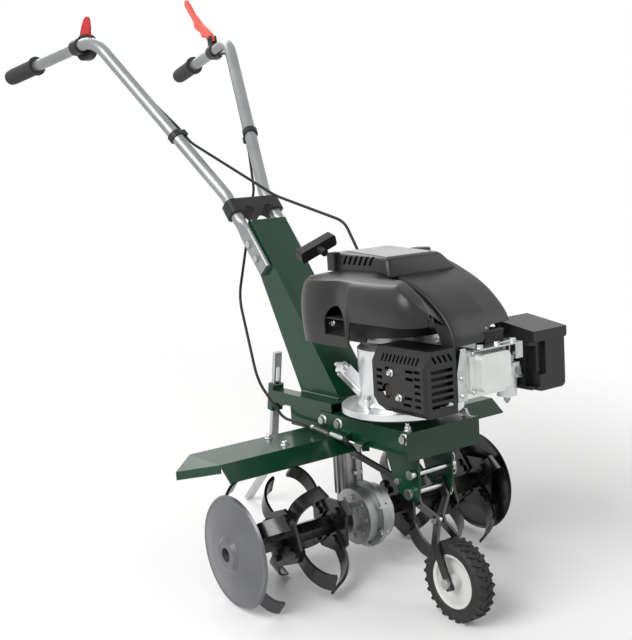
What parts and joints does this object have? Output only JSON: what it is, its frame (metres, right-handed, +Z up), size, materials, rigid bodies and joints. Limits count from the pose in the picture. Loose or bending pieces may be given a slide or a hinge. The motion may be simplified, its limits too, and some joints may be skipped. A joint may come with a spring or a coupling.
{
  "type": "front tine tiller",
  "caption": "Petrol front tine tiller with a green steel chassis, black-cowled engine, worm gearbox, curled tine blades, plant-guard discs, folding front wheel, drag bar and splayed handlebars.",
  "frame": {"origin": "on the ground under the middle of the bounding box", "axes": "+X to the operator's left, +Y to the rear, +Z up"},
  "size_m": [0.7, 1.3686, 1.0652],
  "materials": {
    "green": "gloss",
    "silver_tube": "satin",
    "black_paint": "gloss",
    "cast_alu": "cast",
    "steel": "satin",
    "zinc": "satin",
    "black_plastic": "matte",
    "rubber": "matte",
    "tyre": "matte",
    "white_plastic": "gloss",
    "red_plastic": "gloss",
    "orange_plastic": "gloss",
    "bronze": "machined",
    "silver_film": "satin"
  },
  "bodies": {
    "chassis": {"gearbox_right": "cast_alu", "gearbox_left": "cast_alu", "worm_bearings": "bronze", "engine_tray": "green", "rear_box": "green", "mudguard_right": "green", "mudguard_left": "green", "handle_column": "green", "column_cap": "black_plastic", "cable_clips": "black_plastic", "handle_tube_right": "silver_tube", "grip_right": "rubber", "handle_tube_left": "silver_tube", "grip_left": "rubber", "wheel_bracket": "green", "fork_pins": "zinc", "brace_strut": "black_paint", "drag_socket": "green", "drive_belt": "rubber", "crankcase": "cast_alu", "cylinder": "cast_alu", "rocker_cover": "cast_alu", "cowl": "black_plastic", "cowl_panel": "silver_film", "muffler_guard": "black_paint", "muffler": "steel", "carburettor": "cast_alu", "air_box": "black_plastic", "control_bracket": "zinc", "clutch_mount": "black_plastic", "throttle_housing": "black_plastic", "clutch_cable": "rubber", "throttle_cable": "rubber", "frame_bolts": "zinc"},
    "tine_rotor": {"tine_shaft": "steel", "tine_hubs_right": "black_paint", "tine_hubs_left": "black_paint", "tine_blades_right": "black_paint", "tine_blades_left": "black_paint", "tine_bolts": "zinc", "plant_disc_right": "black_paint", "plant_disc_left": "black_paint", "worm_wheel": "bronze"},
    "worm": {"worm_shaft": "steel", "driven_pulley": "steel"},
    "crank": {"crankshaft": "steel", "crank_pulley": "steel"},
    "fork": {"wheel_fork": "black_paint", "fork_bolts": "zinc"},
    "front_wheel": {"wheel_tyre": "tyre", "wheel_rim": "white_plastic"},
    "drag": {"drag_bar": "zinc"},
    "clutch": {"clutch_lever": "orange_plastic"},
    "idler": {"idler_arm": "steel"},
    "idler_wheel": {"idler_pulley": "steel"},
    "throttle": {"throttle_lever": "red_plastic"},
    "starter": {"starter_handle": "black_plastic", "starter_rope": "rubber"},
    "fuel_lid": {"fuel_cap": "black_plastic"},
    "oil_lid": {"oil_cap": "black_plastic"}
  },
  "joints": [
    {"name": "tine_spin", "type": "hinge", "parent": "chassis", "child": "tine_rotor", "pos_m": [0, -0.36201, 0.1046], "axis": [1, 0, 0], "continuous": true},
    {"name": "worm_spin", "type": "hinge", "parent": "chassis", "child": "worm", "pos_m": [0, -0.3078, 0.19945], "axis": [0, 0.1045, 0.9945], "continuous": true},
    {"name": "crank_spin", "type": "hinge", "parent": "chassis", "child": "crank", "pos_m": [0, -0.4602, 0.3663], "axis": [0, 0.1045, 0.9945], "continuous": true},
    {"name": "fork_fold", "type": "hinge", "parent": "chassis", "child": "fork", "pos_m": [0, -0.53403, 0.20915], "axis": [-1, 0, 0], "range_deg": [0, 75]},
    {"name": "wheel_spin", "type": "hinge", "parent": "fork", "child": "front_wheel", "pos_m": [0, -0.61398, 0.07028], "axis": [1, 0, 0], "continuous": true},
    {"name": "drag_drop", "type": "slide", "parent": "chassis", "child": "drag", "axis": [0, 0.0872, -0.9962], "range_m": [0, 0.06]},
    {"name": "clutch_squeeze", "type": "hinge", "parent": "chassis", "child": "clutch", "pos_m": [0.18117, 0.44526, 0.96896], "axis": [-0.9866, 0.1585, -0.0395], "range_deg": [0, 32], "stiffness_Nm_per_rad": 1.2, "springref_deg": -20.05},
    {"name": "idler_press", "type": "hinge", "parent": "chassis", "child": "idler", "pos_m": [0.05, -0.33702, 0.28498], "axis": [0, -0.1045, -0.9945], "range_deg": [0, 1.95]},
    {"name": "idler_spin", "type": "hinge", "parent": "idler", "child": "idler_wheel", "pos_m": [0.05064, -0.43051, 0.2948], "axis": [0, 0.1045, 0.9945], "continuous": true},
    {"name": "throttle_swing", "type": "hinge", "parent": "chassis", "child": "throttle", "pos_m": [-0.15457, 0.41055, 0.94978], "axis": [-0.9866, -0.1585, 0.0395], "range_deg": [0, 45]},
    {"name": "starter_pull", "type": "slide", "parent": "chassis", "child": "starter", "axis": [0, 0.9703, 0.2419], "range_m": [0, 0.24], "stiffness_N_per_m": 10, "springref_m": -0.1},
    {"name": "fuel_cap_turn", "type": "hinge", "parent": "chassis", "child": "fuel_lid", "pos_m": [0.101, -0.38716, 0.58285], "axis": [0, 0.1045, 0.9945], "continuous": true},
    {"name": "oil_cap_turn", "type": "hinge", "parent": "chassis", "child": "oil_lid", "pos_m": [-0.084, -0.40289, 0.40452], "axis": [-0.6194, 0.2781, 0.7342], "continuous": true}
  ],
  "couplings": [
    {"joint": "worm_spin", "follows": "tine_spin", "ratio": 24},
    {"joint": "idler_press", "follows": "clutch_squeeze", "ratio": 0.060937}
  ]
}
